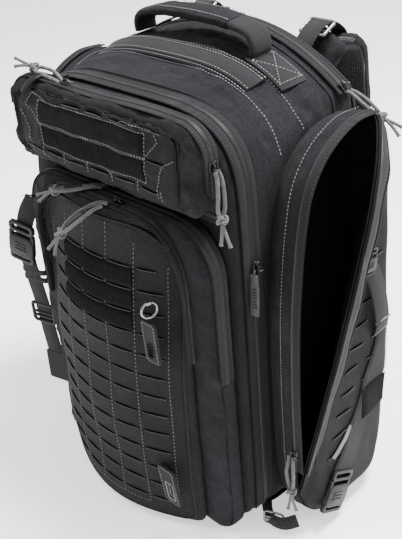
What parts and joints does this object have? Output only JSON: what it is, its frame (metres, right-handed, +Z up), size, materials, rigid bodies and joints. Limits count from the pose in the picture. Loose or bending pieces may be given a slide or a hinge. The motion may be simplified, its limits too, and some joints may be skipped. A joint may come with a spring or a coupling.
{
  "type": "trauma backpack",
  "caption": "Large clamshell trauma backpack with front organiser pockets, side pockets, grab handle, zips with cord pulls and padded shoulder straps.",
  "frame": {"origin": "middle of the base panel's underside, on the ground", "axes": "+Z up, -Y out of the front that carries the pockets, +Y towards the wearer's back, +X to the right seen from the front"},
  "size_m": [0.4945, 0.3398, 0.5615],
  "materials": {
    "pack_cloth": "matte woven nylon, polyurethane-coated inside",
    "zip_tape": "woven tape with moulded coil teeth",
    "webbing": "ribbed nylon webbing",
    "hook_loop": "matte loop pile",
    "spacer_mesh": "open knitted mesh over foam",
    "acetal": "moulded, fine texture",
    "steel": "satin",
    "aluminium": "mill",
    "polythene": "smooth sheet",
    "paracord": "braided cord"
  },
  "bodies": {
    "pack": {"base_panel": "pack_cloth", "main_bag": "pack_cloth", "main_zip_tape": "zip_tape", "rear_compartment": "pack_cloth", "frame_sheet": "polythene", "frame_stay": "aluminium", "back_panel": "pack_cloth", "back_pad_left": "spacer_mesh", "back_pad_right": "spacer_mesh", "lumbar_pad": "spacer_mesh", "rear_zip_tape": "zip_tape", "top_zip_strip": "pack_cloth", "handle_anchor_left": "webbing", "handle_anchor_right": "webbing", "side_pocket_right": "pack_cloth", "side_cover_right": "pack_cloth", "side_pocket_left": "pack_cloth", "side_cover_left": "pack_cloth", "strap_yoke_left": "pack_cloth", "strap_yoke_right": "pack_cloth", "load_lifter_lock_left": "steel", "load_lifter_lock_right": "steel", "side_strap_right": "webbing", "side_strap_left": "webbing", "side_buckle_right": "acetal", "side_buckle_left": "acetal"},
    "front_panel": {"front_panel": "pack_cloth", "panel_zip_tape": "zip_tape", "upper_pocket": "pack_cloth", "lower_pocket": "pack_cloth"},
    "upper_lid": {"upper_pocket_lid": "pack_cloth", "upper_loop_field": "hook_loop"},
    "lower_middle": {"lower_pocket_middle": "pack_cloth", "lower_pocket_boot": "pack_cloth", "slot_tab": "webbing"},
    "lower_flap": {"lower_pocket_flap": "pack_cloth", "lower_loop_field": "hook_loop", "key_tab": "webbing", "snap_ring": "steel"},
    "door_right": {"pocket_door_right": "pack_cloth"},
    "door_left": {"pocket_door_left": "pack_cloth"},
    "grab_handle": {"grab_handle": "webbing"},
    "strap_right": {"shoulder_strap_right": "spacer_mesh", "strap_adjuster_right": "acetal"},
    "strap_left": {"shoulder_strap_left": "spacer_mesh", "strap_adjuster_left": "acetal"},
    "rear_slider": {"rear_zip_slider": "acetal", "rear_pull_cord": "paracord"},
    "upper_slider": {"upper_zip_slider": "acetal", "upper_pull_cord": "paracord"},
    "upper_top_slider": {"upper_top_slider": "acetal", "upper_top_cord": "paracord"},
    "main_slider": {"main_zip_slider": "acetal"},
    "main_tab": {"main_pull_tab": "acetal"},
    "lower_back_slider": {"lower_back_slider": "acetal", "lower_back_cord": "paracord"},
    "lower_front_slider": {"lower_front_slider": "acetal", "lower_front_cord": "paracord"},
    "side_slider": {"side_zip_slider": "acetal", "side_pull_cord": "paracord"}
  },
  "joints": [
    {"name": "clamshell_hinge", "type": "hinge", "parent": "pack", "child": "front_panel", "pos_m": [0, -0.055, 0.0044], "axis": [1, 0, 0], "range_deg": [0, 90]},
    {"name": "upper_lid_hinge", "type": "hinge", "parent": "front_panel", "child": "upper_lid", "pos_m": [0, -0.108, 0.418], "axis": [1, 0, 0], "range_deg": [0, 95]},
    {"name": "second_compartment_hinge", "type": "hinge", "parent": "front_panel", "child": "lower_middle", "pos_m": [0, -0.0922, 0.005], "axis": [1, 0, 0], "range_deg": [0, 30]},
    {"name": "flap_hinge", "type": "hinge", "parent": "lower_middle", "child": "lower_flap", "pos_m": [0, -0.14696, 0.24], "axis": [1, 0, 0], "range_deg": [0, 100]},
    {"name": "door_right_hinge", "type": "hinge", "parent": "pack", "child": "door_right", "pos_m": [0.214, -0.03, 0.11], "axis": [0, 0.2981, 0.9545], "range_deg": [-41, 25]},
    {"name": "door_left_hinge", "type": "hinge", "parent": "pack", "child": "door_left", "pos_m": [-0.214, -0.03, 0.11], "axis": [0, -0.2981, -0.9545], "range_deg": [0, 66]},
    {"name": "handle_hinge", "type": "hinge", "parent": "pack", "child": "grab_handle", "pos_m": [0, 0.05, 0.529], "axis": [1, 0, 0], "range_deg": [-22, 30]},
    {"name": "strap_right_hinge", "type": "hinge", "parent": "pack", "child": "strap_right", "pos_m": [0.096, 0.162, 0.52], "axis": [1, 0, 0], "range_deg": [0, 80]},
    {"name": "strap_left_hinge", "type": "hinge", "parent": "pack", "child": "strap_left", "pos_m": [-0.096, 0.162, 0.52], "axis": [1, 0, 0], "range_deg": [0, 80]},
    {"name": "rear_slider_run", "type": "hinge", "parent": "pack", "child": "rear_slider", "pos_m": [0, 0.095, 0.291], "axis": [0, 1, 0], "range_deg": [-76, 0]},
    {"name": "upper_slider_run", "type": "slide", "parent": "upper_lid", "child": "upper_slider", "axis": [0, 0, 1], "range_m": [-0.026, 0]},
    {"name": "upper_top_slider_run", "type": "slide", "parent": "upper_lid", "child": "upper_top_slider", "axis": [1, 0, 0], "range_m": [-0.02, 0.12]},
    {"name": "main_slider_run", "type": "slide", "parent": "front_panel", "child": "main_slider", "axis": [0, 0, 1], "range_m": [-0.22, 0]},
    {"name": "main_tab_hinge", "type": "hinge", "parent": "main_slider", "child": "main_tab", "pos_m": [0.1651, -0.062, 0.35], "axis": [0, -1, 0], "range_deg": [0, 100]},
    {"name": "lower_back_slider_run", "type": "slide", "parent": "lower_middle", "child": "lower_back_slider", "axis": [1, 0, 0], "range_m": [-0.04, 0.005]},
    {"name": "lower_front_slider_run", "type": "slide", "parent": "lower_flap", "child": "lower_front_slider", "axis": [1, 0, 0], "range_m": [0, 0.045]},
    {"name": "side_slider_run", "type": "slide", "parent": "pack", "child": "side_slider", "axis": [0, 0, 1], "range_m": [0, 0.15]}
  ]
}
